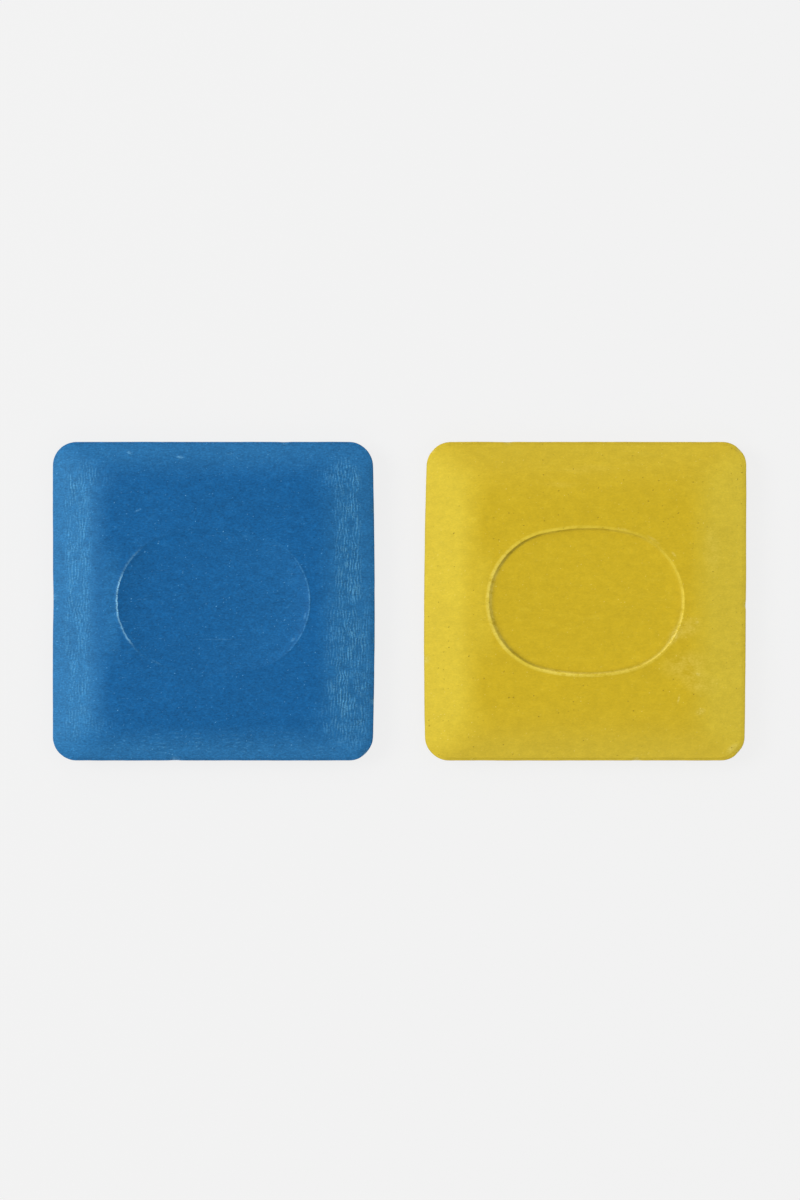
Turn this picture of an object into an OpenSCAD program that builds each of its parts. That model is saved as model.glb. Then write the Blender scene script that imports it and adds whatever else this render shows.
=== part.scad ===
// A pair of square tailor's chalk plates, one blue and one yellow, lying side by side.
// Each is one block of pressed chalk. It is thick and flat in the middle, slopes down
// on both faces to a thin rim for drawing lines, and has a shallow oval on top.
// All sizes are in millimetres. X runs across the pair, Y up the plates, Z up.

/* [Plate] */
// Width of a plate, from its left rim to its right rim
plate_w = 50; // [40:0.5:80]
// Depth of a plate, from its near rim to its far rim
plate_d = 49.5; // [40:0.5:80]
// Thickness of the flat middle
plate_t = 6; // [4:0.1:10]
// Radius of the outline's four corners
corner_r = 3.7; // [2:0.1:7]

/* [Rim] */
// Height of the upright band round the edge
rim_t = 1.6; // [0.8:0.1:3]
// Radius that breaks the band's upper and lower edge
rim_round = 0.3; // [0.1:0.05:0.7]

/* [Bevels] */
// Width of the even slope along the left and right rims
side_slope_w = 5.2; // [3:0.1:7]
// Width over which that slope fades into the flat middle
side_fade_w = 4; // [2:0.1:6]
// Width of the even slope along the near and far rims
end_slope_w = 2.6; // [1:0.1:6]
// Width over which that slope fades into the flat middle
end_fade_w = 4.6; // [2:0.1:6]
// Corner radius of the flat middle
flat_corner_r = 4.2; // [2:0.1:8]

/* [Oval recess] */
// Width of the oval, measured over its lip
oval_w = 31.1; // [26:0.1:31.5]
// Depth of the oval along the plate, measured over its lip
oval_d = 23.6; // [18:0.1:24]
// Radius of the oval's two long, nearly straight sides, measured over its lip
oval_side_r = 29.6; // [20:0.1:120]
// How far the recess goes down
oval_sink = 0.5; // [0.2:0.05:1]
// Width of the raised lip, from its outer foot to the recess
lip_w = 0.55; // [0.3:0.05:1]
// Width of the worn flat on top of the lip, next to the recess
lip_flat_w = 0.06; // [0.03:0.01:0.2]
// How far the lip stands proud
lip_rise = 0.14; // [0.04:0.01:0.25]
// Lean of the recess wall, in degrees from upright
wall_draft = 30; // [5:1:50]

/* [Blue plate] */
// How much the left rim draws in at its ends
blue_left_bow = 0; // [0:0.05:1]
// How much the right rim draws in at its ends
blue_right_bow = 0.35; // [0:0.05:1]

/* [Yellow plate] */
// How much the left rim draws in at its ends
yellow_left_bow = 0.35; // [0:0.05:1]
// How much the right rim draws in at its ends
yellow_right_bow = 0.1; // [0:0.05:1]
// How far the far rim lies right of the middle
yellow_lean = 0.15; // [0:0.05:1]

/* [Pair] */
// Space between the two plates
plate_gap = 7.6; // [2:0.1:40]

/* [Hidden] */

blue = [0.17, 0.42, 0.65];
yellow = [0.81, 0.71, 0.20];

half_w = plate_w / 2;
half_d = plate_d / 2;
mid_z = plate_t / 2;
bevel_rise = (plate_t - rim_t) / 2;
pair_x = (plate_w + plate_gap) / 2;

// The oval is made of four arcs that meet smoothly: two ends, with their centres end_x out on
// the X axis, and two long sides, with theirs side_y across the middle on the Y axis.
// side_turn is half the angle that a long side turns through.
end_r = (oval_side_r * oval_d - (oval_w * oval_w + oval_d * oval_d) / 4) / (2 * oval_side_r - oval_w);
end_x = oval_w / 2 - end_r;
side_y = oval_side_r - oval_d / 2;
side_turn = atan2(end_x, side_y);

// The lip's rounded edge comes down to the plate at its outer foot. It turns a share further
// than that, so that its skin passes through the plate's, and has its root below the recess.
edge_w = lip_w - lip_flat_w;
edge_r = (edge_w * edge_w + lip_rise * lip_rise) / (2 * lip_rise);
past_foot = 1.2;
lip_turn = past_foot * asin(edge_w / edge_r);
lip_root_z = plate_t - 2 * oval_sink;

// How far the recess's middle stays inside its ends where they meet, so that they overlap
join = 0.02;

// Straight pieces that make up each corner, each side, each bevel and each broken edge
corner_steps = 10;
side_steps = 12;
bevel_steps = 11;
round_steps = 3;

// Straight pieces that make up each end and long side of the lip, and its rounded edge
end_steps = 40;
long_steps = 14;
lip_steps = 4;

// Smoothness of the recess
$fn = 96;

// How far in from the rim a bevel is at height z above its foot. It climbs an even slope
// first, and then a parabola that ends level with the flat middle.
function bevel_inset(z, slope_w, fade_w) =
    let (grade = bevel_rise / (slope_w + fade_w / 2))
    z <= grade * slope_w
        ? z / grade
        : slope_w + fade_w - sqrt(2 * fade_w * (bevel_rise - z) / grade);

// Corner c of a rounded rectangle with half sizes w and d, then the straight side after it
function corner_and_side(w, d, r, c) =
    let (
        centre = [(c == 0 || c == 3 ? 1 : -1) * (w - r), (c < 2 ? 1 : -1) * (d - r)],
        arc = [
            for (i = [0:corner_steps])
                let (a = 90 * (c + i / corner_steps))
                centre + r * [cos(a), sin(a)]
        ],
        along = c == 0 ? [-1, 0] : c == 1 ? [0, -1] : c == 2 ? [1, 0] : [0, 1],
        run = 2 * (c % 2 == 0 ? w - r : d - r)
    )
    concat(arc, [for (i = [1:side_steps - 1]) arc[corner_steps] + along * run * i / side_steps]);

// The same shift for every level: rims that draw in towards their ends, and a slight lean
function settle(p, left_bow, right_bow, lean) =
    let (bow = p.x > 0 ? right_bow : left_bow, reach = p.y / half_d)
    [p.x * (1 - bow / half_w * reach * reach) + lean * reach, p.y];

// One level outline at height z above the plate's middle plane
function level(z, side_inset, end_inset, r, left_bow, right_bow, lean) = [
    for (c = [0:3])
        for (p = corner_and_side(half_w - side_inset, half_d - end_inset, r, c))
            let (q = settle(p, left_bow, right_bow, lean))
            [q.x, q.y, mid_z + z]
];

// Heights and insets of the levels from the rim band up to the flat middle
rim_levels = [
    for (i = [0:round_steps])
        let (a = 90 * i / round_steps, inset = rim_round * (1 - cos(a)))
        [rim_t / 2 - rim_round * (1 - sin(a)), inset, inset, corner_r]
];
bevel_levels = [
    for (i = [1:bevel_steps])
        let (left = 1 - i / bevel_steps, z = bevel_rise * (1 - left * left))
        [
            rim_t / 2 + z,
            max(rim_round, bevel_inset(z, side_slope_w, side_fade_w)),
            max(rim_round, bevel_inset(z, end_slope_w, end_fade_w)),
            corner_r + (flat_corner_r - corner_r) * z / bevel_rise
        ]
];
upper = concat(rim_levels, bevel_levels);
lower = [for (i = [len(upper) - 1:-1:0]) [-upper[i][0], upper[i][1], upper[i][2], upper[i][3]]];

// Inset and height of the lip's levels, from inside the plate up to its flat top
lip_levels = concat(
    [[edge_w - edge_r * sin(lip_turn), lip_root_z]],
    [
        for (i = [0:lip_steps])
            let (a = lip_turn * (1 - i / lip_steps))
            [edge_w - edge_r * sin(a), plate_t + lip_rise - edge_r * (1 - cos(a))]
    ]
);

// The oval's outline at height z, that far inside the lip's outer foot
function oval_level(inset, z) = [
    for (c = [0:3])
        let (
            at_end = c % 2 == 0,
            centre = (at_end ? end_x : -side_y) * [cos(90 * c), sin(90 * c)],
            r = (at_end ? end_r : oval_side_r) - inset,
            half_angle = at_end ? 90 - side_turn : side_turn,
            steps = at_end ? end_steps : long_steps
        )
        for (i = [0:steps - 1])
            let (a = 90 * c + half_angle * (2 * i / steps - 1))
            [centre.x + r * cos(a), centre.y + r * sin(a), z]
];

// A solid through a stack of level outlines, the lowest first, with a flat at each end
module loft(levels) {
    n = len(levels[0]);
    skin = [
        for (k = [0:len(levels) - 2])
            for (i = [0:n - 1])
                let (a = k * n + i, b = k * n + (i + 1) % n)
                each [[a, a + n, b + n], [a, b + n, b]]
    ];
    underside = [for (i = [0:n - 1]) i];
    top = [for (i = [n - 1:-1:0]) (len(levels) - 1) * n + i];
    polyhedron([for (points = levels) each points], concat(skin, [underside, top]));
}

// The plate without its oval
module pillow(left_bow, right_bow, lean) {
    loft([
        for (s = concat(lower, upper))
            level(s[0], s[1], s[2], s[3], left_bow, right_bow, lean)
    ]);
}

// A low boss with a rounded edge. The recess leaves only that edge, as the lip.
module oval_lip() {
    loft([for (s = lip_levels) oval_level(s[0], s[1])]);
}

// A shallow cone whose wall meets the lip's top on an arc of radius r
module dish_cone(r) {
    floor_z = plate_t - oval_sink;
    top_z = plate_t + lip_rise;
    open_z = top_z + lip_rise;
    translate([0, 0, floor_z])
        cylinder(
            r1 = r - lip_w - (top_z - floor_z) * tan(wall_draft),
            r2 = r - lip_w + (open_z - top_z) * tan(wall_draft),
            h = open_z - floor_z
        );
}

// What is taken out of the plate: a shallow oval dish with a leaning wall. Its ends are two
// cones, and its middle is what two large cones share between the places where the arcs meet.
module oval_dish() {
    meet_x = (oval_side_r - lip_w) * sin(side_turn);
    for (side = [-1, 1])
        translate([side * end_x, 0, 0])
            dish_cone(end_r);
    intersection() {
        intersection_for (side = [-1, 1])
            translate([0, side * side_y, 0])
                dish_cone(oval_side_r - join);
        translate([-meet_x, -oval_d / 2, plate_t / 2])
            cube([2 * meet_x, oval_d, plate_t]);
    }
}

module chalk_plate(left_bow, right_bow, lean) {
    difference() {
        union() {
            pillow(left_bow, right_bow, lean);
            oval_lip();
        }
        oval_dish();
    }
}

module blue_plate() {
    color(blue)
        translate([-pair_x, 0, 0])
            chalk_plate(blue_left_bow, blue_right_bow, 0);
}

module yellow_plate() {
    color(yellow)
        translate([pair_x, 0, 0])
            chalk_plate(yellow_left_bow, yellow_right_bow, yellow_lean);
}

blue_plate();
yellow_plate();
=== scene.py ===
from math import atan2, cos, pi, radians, sin, sqrt

import bpy
import numpy as np
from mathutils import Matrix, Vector, noise


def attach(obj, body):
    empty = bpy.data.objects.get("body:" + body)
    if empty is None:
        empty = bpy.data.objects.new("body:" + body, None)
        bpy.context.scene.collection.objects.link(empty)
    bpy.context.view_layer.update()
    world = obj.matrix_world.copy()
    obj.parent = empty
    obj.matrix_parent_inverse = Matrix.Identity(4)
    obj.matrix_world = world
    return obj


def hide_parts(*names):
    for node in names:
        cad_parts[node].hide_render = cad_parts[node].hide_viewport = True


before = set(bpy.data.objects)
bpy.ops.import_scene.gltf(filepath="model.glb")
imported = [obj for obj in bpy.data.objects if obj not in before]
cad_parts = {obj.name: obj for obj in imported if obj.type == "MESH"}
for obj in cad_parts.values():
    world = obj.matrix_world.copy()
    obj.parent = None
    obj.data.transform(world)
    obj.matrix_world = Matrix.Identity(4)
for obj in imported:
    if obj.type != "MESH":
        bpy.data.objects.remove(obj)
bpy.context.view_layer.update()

# Sizes of a plate in millimetres, the same as the solids have
PLATE_W = 50.0
PLATE_D = 49.5
PLATE_T = 6.0
CORNER_R = 3.7
RIM_T = 1.6
RIM_ROUND = 0.3
SIDE_SLOPE_W = 5.2
SIDE_FADE_W = 4.0
END_SLOPE_W = 2.6
END_FADE_W = 4.6
FLAT_CORNER_R = 4.2
OVAL_W = 31.1
OVAL_D = 23.6
OVAL_SIDE_R = 29.6
OVAL_SINK = 0.5
LIP_W = 0.55
LIP_RISE = 0.14
PLATE_GAP = 7.6

MM = 0.001
HALF_W = PLATE_W / 2
HALF_D = PLATE_D / 2
MID_Z = PLATE_T / 2
BEVEL_RISE = (PLATE_T - RIM_T) / 2
PAIR_X = (PLATE_W + PLATE_GAP) / 2
RIM_TOP = MID_Z + RIM_T / 2

# The oval's four arcs: the radius of its left and right ends, how far out on the X axis their centres
# lie, how far out on the Y axis those of its long sides do, and half the angle a long side turns through
END_R = (OVAL_SIDE_R * OVAL_D - (OVAL_W**2 + OVAL_D**2) / 4) / (2 * OVAL_SIDE_R - OVAL_W)
END_X = OVAL_W / 2 - END_R
SIDE_Y = OVAL_SIDE_R - OVAL_D / 2
SIDE_TURN = atan2(END_X, SIDE_Y)

# The visible lip is a touch lower than the solid's, so that it stays inside it
LIP_SHARE = 0.96
LIP_HIGH = LIP_RISE * LIP_SHARE

# Wear in millimetres: how far the rims waver inwards, how far into the plate that dies away, and
# how far the top sags
RIM_WAVER = 0.07
WAVER_REACH = 3.0
SAG = 0.03

# How far a chip pushes the rim in and its edge down, as shares of the chip's depth
CHIP_PUSH = 0.8
CHIP_DROP = 0.6

# The share of its height that the lip keeps where it is worn most
LIP_LEAST = 0.65

# Noises that shape the plates: (waves per millimetre, what is added to the plate's seed).
# The rims' waver is mostly the slow noise, by this share.
RIM_SLOW = (0.3, 5)
RIM_QUICK = (1.3, 7)
SLOW_SHARE = 0.7
TOP_SAG = (0.22, 9)
LIP_WORN = (0.35, 0)
LIP_RAGGED = (2.2, 2)

# How finely the plates are meshed. HUB_STEPS is the radius of the flat left in the middle of the
# oval's floor, in steps of that floor.
CORNER_STEPS = 24
SIDE_STEPS = 140
BEVEL_STEPS = 40
UNDER_STEPS = 16
ROUND_STEPS = 4
SHELF_STEPS = 16
FLOOR_STEPS = 22
HUB_STEPS = 0.6

# What each station of a ring holds. After its place come the distance from the rims, how steep the
# bevel is, how rubbed the lip is, and how far down in the oval's dish it lies, the last three from 0 to 1.
FIELDS = ("x", "y", "z", "inset", "steep", "lip", "dish")

# The inset that is noted for places far from every rim
FAR_IN = 20.0

# Photograph: pixels per millimetre at the rims, and the pair's middle, in the 800 x 1200 picture
PHOTO_W_PX = 800
PHOTO_H_PX = 1200
PX_PER_MM = 6.44
PAIR_MID_PX = (399.4, 601.2)

# What differs between the plates, in millimetres or as shares. Places are (x, y) from the plate's middle.
# "End" is its near and far sides, "side" its left and right ones.
#   left_bow, right_bow: how far that rim draws in at its ends
#   lean: how far the far rim lies to the right
#   seed: where the plate's noises are taken from
#   lip_high: the lip's height against LIP_HIGH
#   end_lip, end_fall: the share of its height left at the ends, and the power by which it falls there
#   low_right: the share of its height that is gone on the right
#   slip_right: how much further out its crest lies on the right
#   steep_sides: how much steeper its outer flank is on the left and right
#   ragged: how far its left crest wavers, from end to end of the swing
#   bare_right: how much less the lip's outer flank is rubbed on the right
#   end_spread, left_spread, right_spread: how much wider the wall runs out there
#   lip: points (share of the lip's width from its outer foot, share of its height, how rubbed)
#   wall: points (distance inside the lip's crest, share of the way down, how rubbed)
#   chips: (x, y, radius, depth) on the upper edge of the rim
#   dents: (x, y, radius, depth) on top
PLATES = {
    "blue": {
        "middle_x": -PAIR_X, "left_bow": 0.0, "right_bow": 0.35, "lean": 0.0,
        "seed": 3.0, "lip_high": 1.0, "end_lip": 0.05, "end_fall": 1.2,
        "low_right": 0.0, "slip_right": 0.0, "steep_sides": 1.0, "ragged": 0.22, "bare_right": 0.3,
        "end_spread": 0.7, "left_spread": 0.0, "right_spread": 0.0,
        "lip": [
            (0.2, 0.12, 0), (0.4, 0.26, 0), (0.58, 0.41, 0), (0.74, 0.6, 0.05),
            (0.87, 0.82, 0.3), (0.95, 0.96, 0.8), (1.0, 1.0, 1),
        ],
        "wall": [
            (0.05, 0.06, 1), (0.11, 0.14, 0.9), (0.18, 0.22, 0.5), (0.27, 0.3, 0.1),
            (0.42, 0.4, 0), (0.7, 0.52, 0), (1.1, 0.62, 0), (1.7, 0.74, 0),
            (2.5, 0.87, 0), (3.4, 0.96, 0), (4.2, 1.0, 0),
        ],
        "chips": [
            (25.0, 14.2, 0.5, 0.16), (25.0, -6.0, 0.4, 0.12), (24.9, -15.5, 0.6, 0.15),
            (-25.0, 0.4, 4.0, 0.10), (11.0, 24.75, 0.5, 0.14), (-6.0, -24.75, 0.6, 0.14),
            (23.8, -23.6, 0.7, 0.2),
        ],
        "dents": [(-14.6, 5.2, 0.35, 0.07), (13.2, -6.6, 0.3, 0.05)],
    },
    "yellow": {
        "middle_x": PAIR_X, "left_bow": 0.35, "right_bow": 0.1, "lean": 0.15,
        "seed": 11.0, "lip_high": 0.85, "end_lip": 0.8, "end_fall": 2.0,
        "low_right": 0.75, "slip_right": 0.23, "steep_sides": 0.0, "ragged": 0.1, "bare_right": 0.95,
        "end_spread": -0.3, "left_spread": 0.5, "right_spread": 0.2,
        "lip": [
            (0.12, 0.3, 0.3), (0.25, 0.55, 0.55), (0.45, 0.8, 0.8),
            (0.65, 0.94, 0.95), (0.85, 1.0, 1), (1.0, 0.98, 1),
        ],
        "wall": [
            (0.03, 0.06, 1), (0.08, 0.18, 1), (0.14, 0.36, 1), (0.2, 0.53, 0.9), (0.28, 0.68, 0.6),
            (0.4, 0.8, 0.1), (0.65, 0.88, 0), (1.05, 0.94, 0), (1.45, 0.98, 0), (2.0, 1.0, 0),
        ],
        "chips": [
            (-23.9, 23.7, 0.6, 0.15), (24.0, 23.6, 0.5, 0.16), (24.0, -23.6, 0.6, 0.13),
            (25.0, -0.6, 0.5, 0.12), (-12.0, 24.75, 0.5, 0.14), (8.0, -24.75, 0.5, 0.12),
            (-24.6, -9.0, 0.5, 0.12),
        ],
        "dents": [(-9.7, 9.0, 0.42, 0.16), (12.6, -6.6, 0.4, 0.06), (-3.2, -11.5, 0.3, 0.05)],
    },
}


# Plate surface

def station_rows():
    """How each point of an outline follows from half sizes w and d and corner radius r:
    x = a w + b r and y = c d + e r, with one row (a, b, c, e) a point."""
    def arc_row(corner, degrees):
        sx = 1 if corner % 4 in (0, 3) else -1
        sy = 1 if corner % 4 < 2 else -1
        angle = radians(degrees)
        return np.array([sx, cos(angle) - sx, sy, sin(angle) - sy])

    rows = []
    for corner in range(4):
        for i in range(CORNER_STEPS + 1):
            rows.append(arc_row(corner, 90 * (corner + i / CORNER_STEPS)))
        start, end = rows[-1], arc_row(corner + 1, 90 * (corner + 1))
        for i in range(1, SIDE_STEPS):
            rows.append(start + (end - start) * i / SIDE_STEPS)
    return np.array(rows)


ROWS = station_rows()
AROUND = len(ROWS)


def side_share():
    """1 where the outline runs along a left or right rim, 0 along a near or far one, and between
    the two in the corners."""
    share = []
    for corner in range(4):
        for i in range(CORNER_STEPS + 1):
            share.append(cos(radians(90 * (corner + i / CORNER_STEPS))) ** 2)
        share += [corner % 2] * (SIDE_STEPS - 1)
    return np.array(share, float)


SIDE_SHARE = side_share()


def oval_normals():
    """The direction in which the oval faces at each station, with the stations evenly spaced along it."""
    end_run = END_R * (pi / 2 - SIDE_TURN)
    quarter = end_run + OVAL_SIDE_R * SIDE_TURN
    along, faced = [], []
    for half in range(-2, 3):
        along += [2 * quarter * half - end_run, 2 * quarter * half + end_run]
        faced += [pi * half - (pi / 2 - SIDE_TURN), pi * half + (pi / 2 - SIDE_TURN)]
    places = 4 * quarter * (np.arange(AROUND) - CORNER_STEPS / 2) / AROUND + quarter / 2
    return np.interp(places, along, faced)


NORMAL = oval_normals()
ON_SIDE = np.abs(np.sin(NORMAL)) > cos(SIDE_TURN)


def settle(x, y, plate):
    """Draws the rims in towards their ends and leans them, as pressing and drying did."""
    bow = np.where(x > 0, plate["right_bow"], plate["left_bow"])
    reach = y / HALF_D
    return x * (1 - bow / HALF_W * reach**2) + plate["lean"] * reach, y


def outline(side_inset, end_inset, r, plate):
    """A plate's level outline, inset from its sides and ends, with corners of radius r."""
    w, d = HALF_W - side_inset, HALF_D - end_inset
    x = ROWS[:, 0] * w + ROWS[:, 1] * r
    y = ROWS[:, 2] * d + ROWS[:, 3] * r
    return settle(x, y, plate)


def oval(inset):
    """The oval's outline, inset from its outer foot."""
    r = np.where(ON_SIDE, OVAL_SIDE_R, END_R) - inset
    centre_x = np.where(ON_SIDE, 0, END_X * np.sign(np.cos(NORMAL)))
    centre_y = np.where(ON_SIDE, -SIDE_Y * np.sign(np.sin(NORMAL)), 0)
    return centre_x + r * np.cos(NORMAL), centre_y + r * np.sin(NORMAL)


def waver(x, y, kind, plate):
    """Smooth noise from 0 to 1 at each point (x, y), of one of the kinds named above."""
    per_mm, seed_shift = kind
    seed = plate["seed"] + seed_shift
    values = [noise.noise(Vector((a * per_mm, b * per_mm, seed))) for a, b in zip(x, y)]
    return np.clip(0.5 + 0.5 * np.array(values), 0, 1)


def soft_hit(x, y, z, centre, radius):
    """1 at a centre point, fading with distance."""
    away = (x - centre[0])**2 + (y - centre[1])**2 + (z - centre[2])**2
    return np.exp(-away / radius**2)


def climb(inset, slope_w, fade_w):
    """How far a bevel has risen at that inset: an even slope, then a fade into the flat."""
    grade = BEVEL_RISE / (slope_w + fade_w / 2)
    if inset <= slope_w:
        return grade * inset
    left = max(slope_w + fade_w - inset, 0)
    return BEVEL_RISE - grade * left**2 / (2 * fade_w)


def reach_in(z, slope_w, fade_w):
    """The inset at which a bevel has risen by z."""
    grade = BEVEL_RISE / (slope_w + fade_w / 2)
    if z <= grade * slope_w:
        return z / grade
    return slope_w + fade_w - sqrt(max(2 * fade_w * (BEVEL_RISE - z) / grade, 0))


def half_levels(steps):
    """Levels from the rim band up to the flat. A level is its height over the middle plane, its inset
    from the sides and from the ends, its corner radius and how steep the bevel is there."""
    levels = [(0, 0, 0, CORNER_R, 1)]
    for i in range(ROUND_STEPS + 1):
        a = radians(90 * i / ROUND_STEPS)
        inset = RIM_ROUND * (1 - cos(a))
        levels.append((RIM_T / 2 - RIM_ROUND * (1 - sin(a)), inset, inset, CORNER_R, 1))
    full = SIDE_SLOPE_W + SIDE_FADE_W
    for i in range(1, steps + 1):
        side = RIM_ROUND + (full - RIM_ROUND) * i / steps
        z = climb(side, SIDE_SLOPE_W, SIDE_FADE_W)
        end = max(RIM_ROUND, reach_in(z, END_SLOPE_W, END_FADE_W))
        r = CORNER_R + (FLAT_CORNER_R - CORNER_R) * z / BEVEL_RISE
        levels.append((RIM_T / 2 + z, side, end, r, min(1, (full - side) / SIDE_FADE_W)))
    return levels


def plate_rings(plate):
    """Every ring of a plate, from the flat of its underside, over the rim, to the middle of the oval's
    floor. A ring holds the FIELDS, as arrays with one value a station."""
    rings = []

    def add(xy, z, inset=FAR_IN, steep=0.0, lip=0.0, dish=0.0):
        ones = np.ones(AROUND)
        rings.append([xy[0], xy[1], ones * z, ones * inset, ones * steep, ones * lip, ones * dish])

    # Both bevels and the rim band between them. The middle plane's level is used once.
    levels = [(-1, level) for level in reversed(half_levels(UNDER_STEPS)[1:])]
    levels += [(1, level) for level in half_levels(BEVEL_STEPS)]
    for face, (z, side, end, r, steep) in levels:
        inset = side * SIDE_SHARE + end * (1 - SIDE_SHARE)
        add(outline(side, end, r, plate), MID_Z + face * z, inset, steep)

    # The level shelf between the bevels and the oval
    edge_x, edge_y, _, edge_inset = rings[-1][:4]
    foot_x, foot_y = oval(0)
    shelf_w = np.hypot(foot_x - edge_x, foot_y - edge_y)
    for i in range(1, SHELF_STEPS + 1):
        t = i / SHELF_STEPS
        xy = (edge_x + (foot_x - edge_x) * t, edge_y + (foot_y - edge_y) * t)
        add(xy, PLATE_T, edge_inset + shelf_w * t)
    foot_inset = rings[-1][3]

    # How far each station faces an end, a side, the right or the left
    to_end = np.abs(np.sin(NORMAL))
    to_side = np.abs(np.cos(NORMAL))
    to_right = np.clip(np.cos(NORMAL), 0, 1)**0.5
    to_left = np.clip(-np.cos(NORMAL), 0, 1)

    # The lip: a low bead that ends in the wall's edge. Its height wanders round the oval.
    worn = LIP_LEAST + (1 - LIP_LEAST) * waver(foot_x, foot_y, LIP_WORN, plate)
    high = LIP_HIGH * plate["lip_high"] * worn * (1 - to_end**plate["end_fall"] * (1 - plate["end_lip"]))
    rubbed = high / LIP_HIGH
    high = high * (1 - plate["low_right"] * to_right)
    outside = 1 - plate["bare_right"] * to_right
    ragged = plate["ragged"] * to_left * (waver(foot_x, foot_y, LIP_RAGGED, plate) - 0.5)
    lip_w = LIP_W - plate["slip_right"] * to_right + ragged
    for across, up, crest in plate["lip"]:
        rise = high * up**(1 + plate["steep_sides"] * to_side)
        add(oval(lip_w * across), PLATE_T + rise, foot_inset, lip=rubbed * crest * outside)

    # The wall, which runs out softly into the floor, and the floor
    spread = (1 + plate["end_spread"] * to_end**4 + plate["right_spread"] * to_right
              + plate["left_spread"] * to_left)
    top = PLATE_T + high
    for across, down, crest in plate["wall"]:
        z = top + (PLATE_T - OVAL_SINK - top) * down
        add(oval(lip_w + across * spread), z, foot_inset, lip=rubbed * crest, dish=down)
    floor_x, floor_y = rings[-1][:2]
    for i in range(1, FLOOR_STEPS + 1):
        t = 1 - i / (FLOOR_STEPS + HUB_STEPS)
        add((floor_x * t, floor_y * t), PLATE_T - OVAL_SINK, dish=1.0)
    return np.array(rings)


def wear(rings, plate):
    """Rubs the rings down: rims that waver inwards, chips, dents, and a slight unevenness on top."""
    rim_x, rim_y = outline(0, 0, CORNER_R, plate)
    step = 0.1
    inner_x, inner_y = outline(step, step, CORNER_R, plate)
    in_x, in_y = (inner_x - rim_x) / step, (inner_y - rim_y) / step
    slow = waver(rim_x, rim_y, RIM_SLOW, plate)
    quick = waver(rim_x, rim_y, RIM_QUICK, plate)
    ragged = RIM_WAVER * (SLOW_SHARE * slow + (1 - SLOW_SHARE) * quick)
    for ring in rings:
        x, y, z, inset = ring[:4]
        push = ragged * np.exp(-inset / WAVER_REACH)
        drop = np.zeros(AROUND)
        for cx, cy, radius, depth in plate["chips"]:
            hit = depth * soft_hit(x, y, z, (cx, cy, RIM_TOP), radius)
            push = push + hit * CHIP_PUSH
            drop = drop + hit * CHIP_DROP
        if z.min() > MID_Z:
            drop = drop + SAG * waver(x, y, TOP_SAG, plate) * np.clip(inset, 0, 1)
            for cx, cy, radius, depth in plate["dents"]:
                drop = drop + depth * soft_hit(x, y, z, (cx, cy, PLATE_T), radius)
        ring[0] = x + in_x * push
        ring[1] = y + in_y * push
        ring[2] = z - drop
    return rings


def build_plate(name, plate):
    """One closed skin through a plate's rings, with a flat over the first and the last of them."""
    rings = wear(plate_rings(plate), plate)
    count = len(rings)
    table = rings.transpose(0, 2, 1).reshape(-1, len(FIELDS))
    co = table[:, :3].copy()
    co[:, 0] += plate["middle_x"]
    faces = []
    for k in range(count - 1):
        for i in range(AROUND):
            j = (i + 1) % AROUND
            a, b = k * AROUND, (k + 1) * AROUND
            faces.append((a + i, a + j, b + j, b + i))
    faces.append(tuple(range(AROUND - 1, -1, -1)))
    faces.append(tuple((count - 1) * AROUND + i for i in range(AROUND)))
    mesh = bpy.data.meshes.new(name)
    mesh.from_pydata((co * MM).tolist(), [], faces)
    mesh.polygons.foreach_set("use_smooth", [True] * len(mesh.polygons))
    noted = dict(zip(FIELDS[3:], table.T[3:]))
    noted["side"] = np.tile(SIDE_SHARE, count)
    for key, values in noted.items():
        mesh.attributes.new(key, "FLOAT", "POINT").data.foreach_set("value", values.astype(np.float32))
    mesh.update()
    mesh.validate()
    piece = bpy.data.objects.new(name, mesh)
    bpy.context.scene.collection.objects.link(piece)
    return piece


# Materials

# The Gabor node has two inputs named Orientation. This one is the angle of its flat waves.
GABOR_ANGLE = 4

# How much the directions of the crackle's waves differ, from 0 to 1
WAVE_SPREAD = 0.2

# How tall a spot is, in millimetres, so that height plays no part in it
SPOT_TALL = 1000


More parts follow.
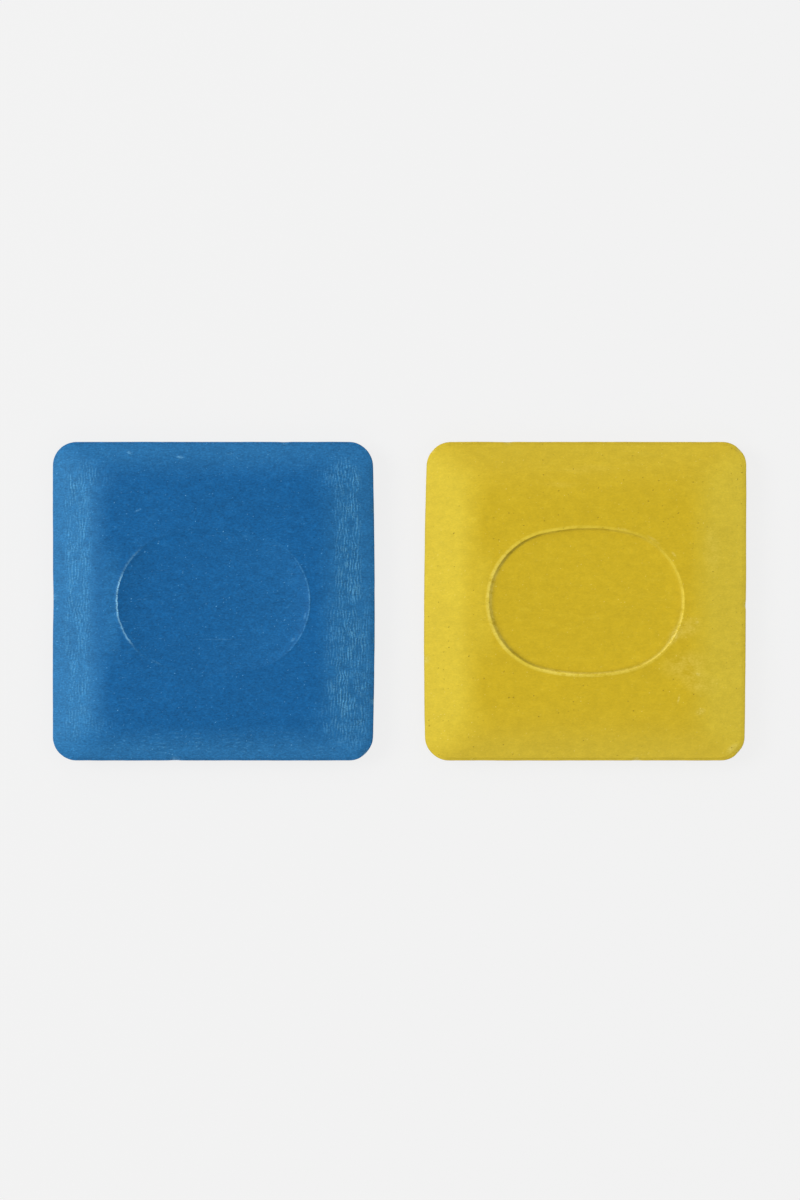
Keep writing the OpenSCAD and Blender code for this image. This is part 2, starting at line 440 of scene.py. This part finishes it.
class Graph:
    """A short way to write a material's nodes. A value is a socket or a plain number."""

    def __init__(self, name):
        self.material = bpy.data.materials.new(name)
        self.material.use_nodes = True
        self.tree = self.material.node_tree
        self.shader = self.tree.nodes["Principled BSDF"]
        self.output = self.tree.nodes["Material Output"]

    def node(self, kind, **settings):
        node = self.tree.nodes.new(kind)
        for key, value in settings.items():
            setattr(node, key, value)
        return node

    def put(self, socket, value):
        """Links a value that is a socket, and sets one that is a number."""
        if isinstance(value, bpy.types.NodeSocket):
            self.tree.links.new(value, socket)
        else:
            socket.default_value = value

    def place(self):
        """The point on the piece in millimetres, in the row frame."""
        return self.stretched(self.node("ShaderNodeTexCoord").outputs["Object"], (1 / MM, 1 / MM, 1 / MM))

    def stretched(self, at, scale=(1, 1, 1), turn=0.0, shift=(0, 0, 0)):
        """The places multiplied by scale, then turned by degrees, then shifted."""
        node = self.node("ShaderNodeMapping")
        self.put(node.inputs["Vector"], at)
        node.inputs["Scale"].default_value = scale
        node.inputs["Rotation"].default_value = (0, 0, radians(turn))
        node.inputs["Location"].default_value = shift
        return node.outputs["Vector"]

    def noise(self, at, scale, detail=2.0, rough=0.5, distortion=0.0):
        node = self.node("ShaderNodeTexNoise")
        self.put(node.inputs["Vector"], at)
        node.inputs["Scale"].default_value = scale
        node.inputs["Detail"].default_value = detail
        node.inputs["Roughness"].default_value = rough
        node.inputs["Distortion"].default_value = distortion
        return node.outputs["Fac"]

    def waves(self, at, spacing, size, turn=0.0):
        """Broken, branching waves from 0 to 1, that far apart and in patches of that size."""
        node = self.node("ShaderNodeTexGabor", gabor_type="2D")
        self.put(node.inputs["Vector"], at)
        node.inputs["Scale"].default_value = 1 / size
        node.inputs["Frequency"].default_value = size / spacing
        node.inputs["Anisotropy"].default_value = 1 - WAVE_SPREAD
        node.inputs[GABOR_ANGLE].default_value = radians(turn)
        return node.outputs["Value"]

    def cells(self, at, scale):
        """Distance to the nearest scattered point, and that point's own random number."""
        node = self.node("ShaderNodeTexVoronoi")
        self.put(node.inputs["Vector"], at)
        node.inputs["Scale"].default_value = scale
        split = self.node("ShaderNodeSeparateColor")
        self.put(split.inputs["Color"], node.outputs["Color"])
        return node.outputs["Distance"], split.outputs["Red"]

    def borders(self, at, scale, width):
        """1 on the borders between cells, fading to 0 at that distance, in cells."""
        node = self.node("ShaderNodeTexVoronoi", feature="DISTANCE_TO_EDGE")
        self.put(node.inputs["Vector"], at)
        node.inputs["Scale"].default_value = scale
        return self.ramp(node.outputs["Distance"], width, 0.0)

    def shaken(self, at, value, amount):
        """Moves the places along a diagonal by a noise value, so that shapes lose their evenness."""
        node = self.node("ShaderNodeVectorMath", operation="ADD")
        self.put(node.inputs[0], at)
        self.put(node.inputs[1], self.times(value, amount))
        return node.outputs["Vector"]

    def attribute(self, name):
        return self.node("ShaderNodeAttribute", attribute_name=name).outputs["Fac"]

    def math(self, operation, a, b=0.0, c=0.0):
        node = self.node("ShaderNodeMath", operation=operation)
        for socket, value in zip(node.inputs, (a, b, c)):
            self.put(socket, value)
        return node.outputs["Value"]

    def add(self, *values):
        total = values[0]
        for value in values[1:]:
            total = self.math("ADD", total, value)
        return total

    def times(self, *values):
        total = values[0]
        for value in values[1:]:
            total = self.math("MULTIPLY", total, value)
        return total

    def ramp(self, value, low, high, to_low=0.0, to_high=1.0):
        """A smooth step from to_low at low to to_high at high."""
        node = self.node("ShaderNodeMapRange", interpolation_type="SMOOTHSTEP")
        self.put(node.inputs["Value"], value)
        node.inputs["From Min"].default_value = min(low, high)
        node.inputs["From Max"].default_value = max(low, high)
        node.inputs["To Min"].default_value = to_low if low < high else to_high
        node.inputs["To Max"].default_value = to_high if low < high else to_low
        return node.outputs["Result"]

    def band(self, value, low, high, soft):
        """1 between low and high, with soft ends."""
        above = self.ramp(value, low - soft, low + soft)
        below = self.ramp(value, high + soft, high - soft)
        return self.times(above, below)

    def spot(self, at, middle, size, turn=0.0):
        """A soft oval patch, 1 in its middle and 0 at its rim."""
        node = self.node("ShaderNodeMapping", vector_type="TEXTURE")
        self.put(node.inputs["Vector"], at)
        node.inputs["Location"].default_value = (*middle, 0)
        node.inputs["Rotation"].default_value = (0, 0, radians(turn))
        node.inputs["Scale"].default_value = (*size, SPOT_TALL)
        length = self.node("ShaderNodeVectorMath", operation="LENGTH")
        self.put(length.inputs[0], node.outputs["Vector"])
        return self.ramp(length.outputs["Value"], 1.0, 0.2)

    def mixed(self, share, a, b):
        """Colour a where share is 0, and colour b where it is 1."""
        node = self.node("ShaderNodeMix", data_type="RGBA")
        self.put(node.inputs["Factor"], share)
        for socket, value in ((node.inputs["A"], a), (node.inputs["B"], b)):
            self.put(socket, (*value, 1) if isinstance(value, tuple) else value)
        return node.outputs["Result"]

    def scaled(self, colour, factor):
        node = self.node("ShaderNodeVectorMath", operation="SCALE")
        self.put(node.inputs["Vector"], colour)
        self.put(node.inputs["Scale"], factor)
        return node.outputs["Vector"]


# How far a plate's noises are shifted for each unit of its seed
SEED_X = 17
SEED_Y = 5

# The left and right zones of a plate begin this far inside its rim, and are full this far inside
ZONE_START = 12
ZONE_FULL = 6

# Crackle in millimetres: (distance between its waves, size of their patches) on the side bevels and on
# the end ones, and the shift of the second set of waves, which fills gaps in the first
SIDE_WAVES = (0.46, 1.2)
END_WAVES = (0.62, 1.3)
SECOND_SET = (40.3, 17.1, 0)

# How many small marks lie along a millimetre. A scratch's own millimetre is stretched.
SPECKS_PER_MM = 1.9
SCRATCHES_PER_MM = 0.62
PITS_PER_MM = 1.3

# The most that whitish powder hides of the chalk under it
MOST_MARK = 0.9

# Powder in a chip reaches this many of the chip's radii, and at most this many millimetres
CHIP_REACH = 1.6
CHIP_REACH_MOST = 1.2

# Roughness of the plain chalk, what mottling and powder add to it, and how much it shines
CHALK_ROUGH = 0.5
ROUGH_MOTTLE = 0.12
ROUGH_POWDER = 0.08
CHALK_SHINE = 0.1

# Relief in millimetres of pale marks and pits
MARK_RELIEF = 0.01
PIT_RELIEF = -0.05


def chalk_material(name, looks, plate):
    """Pressed chalk: an even body colour, paler where bevels, rim and lip are rubbed, with grain, specks,
    pits, fine scratches, crackle on the bevels and smears of powder. In places painted sheen, painted
    light and painted shade are laid on as well.

    The two limits of a ramp or band are millimetres from the plate's middle when they go with x or y, and
    from its rims when they go with inset. With a noise, a mesh field or a distance between scattered
    points they are that value's own."""
    g = Graph(name)
    at = g.stretched(g.place(), shift=(-plate["middle_x"], 0, 0))
    split = g.node("ShaderNodeSeparateXYZ")
    g.put(split.inputs["Vector"], at)
    x, y = split.outputs["X"], split.outputs["Y"]
    seeded = g.stretched(at, shift=(plate["seed"] * SEED_X, plate["seed"] * SEED_Y, 0))

    # What the mesh notes at each point, and how far a point belongs to the left, right and near zones
    inset = g.attribute("inset")
    steep = g.attribute("steep")
    side = g.attribute("side")
    lip = g.attribute("lip")
    dish = g.attribute("dish")
    end = g.math("SUBTRACT", 1.0, side)
    left = g.ramp(x, ZONE_START - HALF_W, ZONE_FULL - HALF_W)
    right = g.ramp(x, HALF_W - ZONE_START, HALF_W - ZONE_FULL)
    near = g.ramp(y, 4, -6)

    # Noises that several features share
    cloud = g.noise(g.stretched(seeded, (0.7, 1.3, 1)), 0.14, detail=3, rough=0.55)
    mottle = g.noise(g.stretched(seeded, (0.85, 1.2, 1)), 0.75, detail=4, rough=0.62)
    grain = g.noise(g.stretched(seeded, (0.8, 1.5, 1)), 3.4, detail=2, rough=0.6)
    streaks = g.noise(g.stretched(seeded, (0.4, 1.5, 1)), 1.0, detail=4, rough=0.65, distortion=0.4)

    # Crackle: wavy lines that run along the side bevels, and fainter ones along the end bevels. The net
    # is a faint one that shows everywhere.
    ripple = g.noise(g.stretched(seeded, (1, 0.8, 1), shift=(3, 7, 0)), 0.5, detail=1)
    wriggle = g.noise(g.stretched(seeded, (1, 0.8, 1), shift=(5, 2, 0)), 0.95, detail=0.5)
    wriggled = g.shaken(seeded, g.math("SUBTRACT", wriggle, 0.5), looks["crackle_wriggle"])
    drawn_out = g.stretched(wriggled, (1, 0.7, 1))
    second = g.stretched(drawn_out, shift=SECOND_SET)
    sets = [g.ramp(g.waves(where, *SIDE_WAVES), 0.49, 0.73) for where in (drawn_out, second)]
    side_waves = g.math("MAXIMUM", *sets)
    end_waves = g.ramp(g.waves(wriggled, *END_WAVES, turn=90), 0.5, 0.76)
    net = g.times(g.borders(g.shaken(seeded, ripple, 2.2), 0.85, 0.14), g.ramp(mottle, 0.42, 0.62))
    patchy = g.ramp(g.noise(g.stretched(seeded, (1, 0.45, 1)), 0.45, detail=2), 0.38, 0.58)
    broken = g.ramp(g.noise(g.stretched(seeded, (1, 0.35, 1), shift=(0, 0, 5)), 1.1, detail=1), 0.3, 0.5)
    low_right = g.times(g.band(inset, 0.9, 7.4, 0.8), right, near, 0.65)
    side_band = g.math("MAXIMUM", g.band(inset, *looks["crackle_band"], 0.7), low_right)
    faded = g.add(1.0, g.times(left, g.ramp(y, -4, -10), -0.5), g.times(right, 0.2))
    side_amount = g.times(side_band, side, broken, faded, g.add(0.55, g.times(patchy, 0.45)))
    end_amount = g.times(g.band(inset, 1.2, 4.6, 0.8), end, patchy, broken, g.add(0.12, g.times(near, 0.2)))
    crackle = g.add(g.times(side_waves, side_amount), g.times(end_waves, end_amount))
    crackle = g.times(crackle, g.ramp(grain, 0.3, 0.62, 0.6, 1.2), looks["crackle"])

    # Powder: how far the colour goes from the body's towards the rubbed one. Part of the extra on the left
    # bevel is painted sheen, and part of the extra on the right and near bevels is painted light.
    on_side = g.add(
        looks["side_powder"],
        # The left bevel's extra paleness is partly painted sheen
        g.times(left, looks["left_powder_and_sheen"]),
        # The right bevel's extra paleness is partly painted light, which evens out the shade it gets
        g.times(right, looks["right_powder_and_painted_light"]),
    )
    # The near bevel's extra paleness is partly painted light, which evens out the shade it gets
    on_end = g.add(looks["end_powder"], g.times(near, looks["near_powder_and_painted_light"]))
    uneven = g.add(0.7, g.times(cloud, 0.35), g.times(mottle, 0.25))
    # The flat left of the oval, where painted light is laid on in the rubbed colour
    beside = g.times(g.band(inset, 8.2, 12.0, 1.0), g.ramp(x, -12.8, -15.6), g.ramp(dish, 0.2, 0.05))
    powder = g.add(
        g.times(on_side, steep, side, uneven),
        g.times(beside, g.band(y, -8, 7, 4), uneven, looks["left_shelf_painted_light"]),
        g.times(g.ramp(dish, 0.1, 0.4), g.ramp(x, -6, 14), uneven, looks["floor_haze"]),
        g.times(on_end, g.ramp(inset, 6.4, 0.8), end, uneven),
    )
    worn_lip = g.times(lip, g.ramp(mottle, 0.22, 0.5), looks["lip_powder"])
    powder = g.math("MAXIMUM", powder, worn_lip)
    wisps = g.times(g.ramp(streaks, 0.54, 0.72), looks["wisps"])
    powder = g.add(powder, wisps, g.times(crackle, looks["crackle_powder"]), g.times(net, looks["net"]))
    powder = g.math("MINIMUM", powder, 1.0)
    colour = g.mixed(powder, looks["body"], looks["powder"])

    # Whitish powder on the lip, along the crackle, near the rims, in smears and in chips. On the lip's near
    # side it is partly a painted highlight.
    crumbs = g.ramp(g.add(g.times(mottle, 0.6), g.times(grain, 0.4)), 0.36, 0.66)
    # The lip's near side, from left of the middle rightwards, where painted light is laid on
    near_lip_painted_light = g.times(near, g.ramp(x, -9.5, -4.0))
    crest = g.add(
        looks["crest"],
        g.times(g.ramp(x, -10.5, -13.0), looks["left_end_crest"]),
        # On the lip's near side the whitish colour is partly a painted highlight
        g.times(near_lip_painted_light, looks["near_crest_and_highlight"]),
        g.times(g.ramp(x, 10, 14), looks["right_crest"]),
    )
    ragged = g.ramp(g.add(g.times(mottle, 0.5), g.times(grain, 0.5)), 0.36, 0.56)
    smeared = g.add(
        g.times(lip, ragged, crest),
        g.times(crackle, looks["crackle_mark"]),
        g.times(g.ramp(inset, 11.0, 1.0), g.add(0.5, g.times(end, 0.5)), looks["dust"]),
    )
    for px, py, half_l, half_w, turn, strength in looks["smears"]:
        smeared = g.add(smeared, g.times(g.spot(at, (px, py), (half_l, half_w), turn), crumbs, strength))
    for px, py, radius, depth in plate["chips"]:
        reach = min(radius * CHIP_REACH, CHIP_REACH_MOST)
        patch = g.spot(at, (px, py), (reach, reach))
        smeared = g.add(smeared, g.times(patch, crumbs, depth * looks["chip_powder"]))
    colour = g.mixed(g.math("MINIMUM", smeared, MOST_MARK), colour, looks["mark"])

    # The crumbled top of the wall on the left, worst in the middle and least further up
    crumbled_along = g.add(
        g.band(y, -2.0, 3.8, 0.8),
        g.times(g.band(y, -6.4, -2.0, 0.8), 0.5),
        g.times(g.band(y, 3.8, 8.6, 0.8), 0.16),
    )
    wall_top = g.times(g.band(dish, 0.05, 0.27, 0.05), g.ramp(x, -10.5, -12.5), crumbled_along)
    crumbled = g.times(wall_top, g.ramp(ragged, 0.0, 0.6, 0.35, 1.0), looks["crumbled"])
    colour = g.mixed(crumbled, colour, looks["crumb"])

    # Specks of pale powder, short scratches and pits
    speck_far, speck_pick = g.cells(g.shaken(seeded, grain, 1.0), SPECKS_PER_MM)
    specks = g.times(g.ramp(speck_far, 0.2, 0.06), g.ramp(speck_pick, 0.6, 1.0), g.ramp(grain, 0.3, 0.6))
    rim_specks = g.times(g.ramp(inset, 4.6, 1.6), g.add(0.5, g.times(right, 0.5)), looks["rim_specks"])
    by_lip = g.times(g.add(g.ramp(lip, 0.0, 0.3), g.band(dish, 0.05, 0.6, 0.05)), 0.5)
    specks = g.times(specks, g.add(looks["specks"], rim_specks, by_lip))
    scratch_at = g.shaken(g.stretched(seeded, (0.3, 2.4, 1), turn=looks["scratch_turn"]), cloud, 3.0)
    scratch_far, scratch_pick = g.cells(scratch_at, SCRATCHES_PER_MM)
    scratches = g.times(
        g.ramp(scratch_far, 0.16, 0.05),
        g.ramp(scratch_pick, 0.72, 0.8),
        g.ramp(grain, 0.35, 0.6),
        looks["scratches"],
    )
    light_marks = g.math("MINIMUM", g.add(specks, scratches), MOST_MARK)
    colour = g.mixed(light_marks, colour, looks["mark"])
    pit_far, pit_pick = g.cells(g.shaken(seeded, grain, 0.5), PITS_PER_MM)
    pit_size = g.times(pit_pick, 0.06)
    pits = g.times(g.ramp(g.math("SUBTRACT", pit_far, pit_size), 0.09, 0.02), g.ramp(pit_pick, 0.55, 1.0))
    pits = g.times(pits, g.ramp(dish, 0.2, 0.6, 1.0, 0.4))
    colour = g.mixed(g.times(pits, looks["pits"]), colour, looks["pit"])

    # Shade: grain, mottling and slow clouds, and places in and round the oval that are darker or lighter,
    # which are painted shade, painted shadow and painted light
    # Where painted shade darkens the wall's left corners: all of it at the far one, 0.6 of it at the near
    # one
    corners = g.add(g.ramp(y, 3.5, 6.5), g.times(g.ramp(y, -4.5, -7.0), 0.6))
    shade = g.add(
        1.0,
        g.times(g.math("SUBTRACT", grain, 0.5), looks["grain"]),
        g.times(g.math("SUBTRACT", mottle, 0.5), looks["mottle"]),
        g.times(g.math("SUBTRACT", cloud, 0.5), looks["cloud"]),
        # Painted shade at the wall's near foot
        g.times(g.band(dish, 0.5, 0.86, 0.08), near, looks["foot_painted_shade"]),
        # Painted shadow on the left of the recess
        g.times(g.ramp(dish, 0.3, 0.6), g.ramp(x, -7.0, -13.5), looks["left_painted_shadow"]),
        # Painted light on the lip's near side
        g.times(lip, near_lip_painted_light, looks["near_lip_painted_light"]),
        # Painted shade on the wall's left corners
        g.times(g.band(dish, 0.1, 0.75, 0.08), g.ramp(x, -5, -9), corners, looks["corner_painted_shade"]),
    )
    g.put(g.shader.inputs["Base Color"], g.scaled(colour, shade))

    rough = g.add(CHALK_ROUGH, g.times(mottle, ROUGH_MOTTLE), g.times(powder, ROUGH_POWDER))
    g.put(g.shader.inputs["Roughness"], rough)
    g.shader.inputs["Specular IOR Level"].default_value = CHALK_SHINE

    # Relief in millimetres: grain, mottling, crackle, pale marks and pits
    relief = g.add(
        g.times(grain, looks["grain_relief"]),
        g.times(mottle, looks["mottle_relief"]),
        g.times(crackle, looks["crackle_relief"]),
        g.times(light_marks, MARK_RELIEF),
        g.times(pits, PIT_RELIEF),
    )
    bump = g.node("ShaderNodeBump")
    bump.inputs["Distance"].default_value = MM
    g.put(bump.inputs["Height"], relief)
    g.put(g.shader.inputs["Normal"], bump.outputs["Normal"])
    return g.material


# How each plate looks. Colours are linear red, green and blue. The other values are strengths, mostly
# from 0 to 1, where a minus darkens or takes away. "End" and "side" are meant as in PLATES.
#   body, powder, mark, crumb, pit: the colours of the chalk itself, of rubbed places, of whitish powder,
#       of the crumbled top of the wall, and of pits
#   side_powder, left_powder_and_sheen, right_powder_and_painted_light: rubbed side bevels, and what is
#       added on each of them, which is partly painted sheen on the left and partly painted light on the
#       right
#   end_powder, near_powder_and_painted_light: rubbed end bevels, and what is added on the near one, which
#       is partly painted light
#   lip_powder: the rubbed lip
#   crest, left_end_crest, near_crest_and_highlight, right_crest: whitish powder on the lip, all round and
#   at
#       places, which on the near side is partly a painted highlight
#   crumbled: how much the top of the wall on the left is crumbled
#   left_shelf_painted_light, floor_haze: painted light on the flat left of the oval, laid on in the rubbed
#       colour, and powder on the right of its floor
#   wisps, net: faint streaks, and a faint net of lines
#   dust: whitish powder that thins out from the rims inwards
#   chip_powder: whitish powder in a chip, for each millimetre of its depth
#   foot_painted_shade, left_painted_shadow, near_lip_painted_light, corner_painted_shade: painted shade at
#       the wall's near foot, painted shadow on the recess's left, painted light on the lip's near side and
#       painted shade on the wall's left corners
#   crackle, crackle_band: how strong the crackle is, and between which insets it runs on the sides
#   crackle_wriggle: how many millimetres its lines swing
#   crackle_powder, crackle_mark: how rubbed and how whitish its lines are
#   specks, rim_specks: specks everywhere, and more of them near the rims
#   scratches, scratch_turn: short scratches, and their turn in degrees
#   pits: how dark the pits are
#   grain, mottle, cloud: fine, middling and slow changes of the shade
#   crackle_relief, grain_relief, mottle_relief: how far these stand up, in millimetres
#   smears: (x, y, half length, half width, turn in degrees, strength) of whitish powder
LOOKS = {
    "blue": {
        "body": (0.0062, 0.107, 0.302), "powder": (0.067, 0.31, 0.597), "mark": (0.19, 0.51, 0.80),
        "crumb": (0.29, 0.66, 0.97), "pit": (0.004, 0.06, 0.20),
        "side_powder": 0.22, "left_powder_and_sheen": 0.12, "right_powder_and_painted_light": -0.01,
        "end_powder": 0.22, "near_powder_and_painted_light": 0.02,
        "lip_powder": 0.35,
        "crest": 0.0, "left_end_crest": 0.25, "near_crest_and_highlight": 0.0, "right_crest": 0.2,
        "crumbled": 1.0,
        "left_shelf_painted_light": 0.16, "floor_haze": 0.05, "wisps": 0.05, "net": 0.05, "dust": 0.0, "chip_powder": 3.0,
        "foot_painted_shade": 0.0, "left_painted_shadow": -0.08, "near_lip_painted_light": 0.0, "corner_painted_shade": 0.0,
        "crackle": 1.0, "crackle_band": (2.2, 5.9), "crackle_wriggle": 0.5,
        "crackle_powder": 0.45, "crackle_mark": 0.18,
        "specks": 0.75, "rim_specks": 0.4, "scratches": 0.14, "scratch_turn": 4, "pits": 0.35,
        "grain": 1.1, "mottle": 0.38, "cloud": 0.18,
        "crackle_relief": 0.05, "grain_relief": 0.02, "mottle_relief": 0.035,
        "smears": [
            (-5.1, 22.3, 0.8, 0.35, -6, 0.5), (-12.9, 23.0, 0.7, 0.4, -20, 0.45),
            (2.6, 22.9, 1.0, 0.3, 5, 0.35), (-11.6, 14.0, 0.8, 0.22, 28, 0.5),
            (-22.8, -18.9, 0.45, 0.16, -52, 0.5), (1.6, -5.9, 5.2, 0.16, 0, 0.12),
            (-8.8, -9.4, 1.0, 0.22, -28, 0.25), (14.2, -2.3, 0.9, 0.25, 80, 0.2),
            (12.4, -5.9, 0.6, 0.3, 40, 0.25),
        ],
    },
    "yellow": {
        "body": (0.590, 0.417, 0.0155), "powder": (0.755, 0.593, 0.052), "mark": (0.80, 0.69, 0.20),
        "crumb": (0.86, 0.76, 0.25), "pit": (0.33, 0.21, 0.016),
        "side_powder": 0.50, "left_powder_and_sheen": 0.04, "right_powder_and_painted_light": 0.07,
        "end_powder": 0.12, "near_powder_and_painted_light": 0.14,
        "lip_powder": 1.0,
        "crest": 0.1, "left_end_crest": 0.3, "near_crest_and_highlight": 0.5, "right_crest": 0.0,
        "crumbled": 0.0,
        "left_shelf_painted_light": 0.3, "floor_haze": 0.0, "wisps": 0.12, "net": 0.07, "dust": 0.05, "chip_powder": 5.0,
        "foot_painted_shade": -0.14, "left_painted_shadow": 0.0, "near_lip_painted_light": 0.18, "corner_painted_shade": -0.26,
        "crackle": 0.0, "crackle_band": (2.2, 5.9), "crackle_wriggle": 0.6,
        "crackle_powder": 0.0, "crackle_mark": 0.0,
        "specks": 0.85, "rim_specks": 0.1, "scratches": 0.08, "scratch_turn": -3, "pits": 0.9,
        "grain": 0.27, "mottle": 0.24, "cloud": 0.09,
        "crackle_relief": 0.0, "grain_relief": 0.005, "mottle_relief": 0.02,
        "smears": [
            (13.6, -5.4, 1.0, 2.2, -35, 0.4), (15.6, -4.2, 3.4, 2.0, 25, 0.18),
            (15.4, -9.8, 5.0, 2.8, 8, 0.17), (14.3, -15.1, 1.0, 0.25, 78, 0.4),
            (17.6, -12.6, 4.0, 2.4, -14, 0.16), (0.5, 20.4, 6.0, 0.9, 1, 0.07),
            (-4.0, 18.0, 4.0, 0.7, -2, 0.05), (19.5, 8.0, 2.0, 5.0, 0, 0.1),
            (17.7, -17.1, 1.1, 0.7, 20, 0.4), (17.1, -3.3, 0.5, 0.35, 30, 0.45),
            (17.3, -11.3, 0.5, 0.35, -30, 0.45), (22.8, -22.9, 1.6, 0.8, 40, 0.4),
            (10.4, 9.5, 1.6, 0.35, -35, 0.35), (5.6, 11.15, 1.3, 0.3, -12, 0.35),
            (13.6, 7.2, 0.8, 0.3, -55, 0.4),
        ],
    },
}

for colour_name, plate in PLATES.items():
    piece = build_plate(colour_name + "_chalk", plate)
    piece.data.materials.append(chalk_material(colour_name + "_chalk", LOOKS[colour_name], plate))
    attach(piece, colour_name)
    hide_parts(colour_name + "_plate")


# Stage, lights and camera

# Floor: its width in metres, its own colour, the even colour that the camera sees and how much of it
FLOOR_SIZE = 8.0
FLOOR_COLOUR = (0.888, 0.888, 0.888)
FLOOR_SEEN = (0.888, 0.888, 0.888)
FLOOR_UNSHADED = 0.92
FLOOR_ROUGH = 0.9

# Even light from all round
SKY_LIGHT = 0.27

# Soft lights: name, azimuth and elevation in degrees, distance and size in metres, power in watts
LIGHTS = [
    ("key_left", 168, 44, 1.1, 0.55, 7.7),
    ("fill_right", 0, 50, 1.1, 0.7, 2.0),
    ("fill_far", 90, 48, 1.1, 0.7, 2.0),
    ("fill_near", -90, 48, 1.1, 0.7, 2.0),
]

# Camera: focal length and sensor size in millimetres, and the nearest it sees in metres
LENS = 100.0
SENSOR = 36.0
CLIP_START = 0.01


def floor_material():
    """A pale matt floor. The camera sees most of it unshaded, which keeps a faint soft shadow."""
    g = Graph("floor")
    g.shader.inputs["Base Color"].default_value = (*FLOOR_COLOUR, 1)
    g.shader.inputs["Roughness"].default_value = FLOOR_ROUGH
    g.shader.inputs["Specular IOR Level"].default_value = 0.0
    glow = g.node("ShaderNodeEmission")
    glow.inputs["Color"].default_value = (*FLOOR_SEEN, 1)
    seen = g.node("ShaderNodeLightPath").outputs["Is Camera Ray"]
    mix = g.node("ShaderNodeMixShader")
    share, shaded_side, even_side = mix.inputs
    g.put(share, g.times(seen, FLOOR_UNSHADED))
    g.put(shaded_side, g.shader.outputs["BSDF"])
    g.put(even_side, glow.outputs["Emission"])
    g.put(g.output.inputs["Surface"], mix.outputs["Shader"])
    return g.material


def add_floor():
    mesh = bpy.data.meshes.new("floor")
    h = FLOOR_SIZE / 2
    mesh.from_pydata([(-h, -h, 0), (h, -h, 0), (h, h, 0), (-h, h, 0)], [], [(0, 1, 2, 3)])
    floor = bpy.data.objects.new("floor", mesh)
    bpy.context.scene.collection.objects.link(floor)
    floor.data.materials.append(floor_material())


def softbox(name, azimuth, elevation, distance, size, power):
    """A square soft light that looks at the pair. Azimuth 0 is at +X, 90 at +Y."""
    data = bpy.data.lights.new(name, "AREA")
    data.shape = "SQUARE"
    data.size = size
    data.energy = power
    lamp = bpy.data.objects.new(name, data)
    a, e = radians(azimuth), radians(elevation)
    lamp.location = Vector((cos(e) * cos(a), cos(e) * sin(a), sin(e))) * distance
    lamp.rotation_euler = lamp.location.to_track_quat("Z", "Y").to_euler()
    bpy.context.scene.collection.objects.link(lamp)


def add_sky():
    """Even soft light. Where the camera sees past the floor's far edge, the sky is as pale as the floor."""
    world = bpy.data.worlds.new("studio")
    world.use_nodes = True
    tree = world.node_tree
    seen = tree.nodes.new("ShaderNodeLightPath").outputs["Is Camera Ray"]
    strength = tree.nodes.new("ShaderNodeMapRange")
    tree.links.new(seen, strength.inputs["Value"])
    strength.inputs["To Min"].default_value = SKY_LIGHT
    strength.inputs["To Max"].default_value = FLOOR_SEEN[0]
    tree.links.new(strength.outputs["Result"], tree.nodes["Background"].inputs["Strength"])
    tree.nodes["Background"].inputs["Color"].default_value = (1, 1, 1, 1)
    bpy.context.scene.world = world


def add_camera():
    """Looks straight down, from where its view at the rims' height is as tall as the photograph."""
    data = bpy.data.cameras.new("camera")
    data.lens = LENS
    data.sensor_width = SENSOR
    data.clip_start = CLIP_START
    off_x = (PHOTO_W_PX / 2 - PAIR_MID_PX[0]) / PX_PER_MM * MM
    off_y = (PAIR_MID_PX[1] - PHOTO_H_PX / 2) / PX_PER_MM * MM
    view_h = PHOTO_H_PX / PX_PER_MM * MM
    camera = bpy.data.objects.new("camera", data)
    camera.location = (off_x, off_y, MID_Z * MM + view_h * LENS / SENSOR)
    bpy.context.scene.collection.objects.link(camera)
    bpy.context.scene.camera = camera


add_floor()
for light in LIGHTS:
    softbox(*light)
add_sky()
add_camera()
bpy.context.scene.view_settings.view_transform = "Standard"
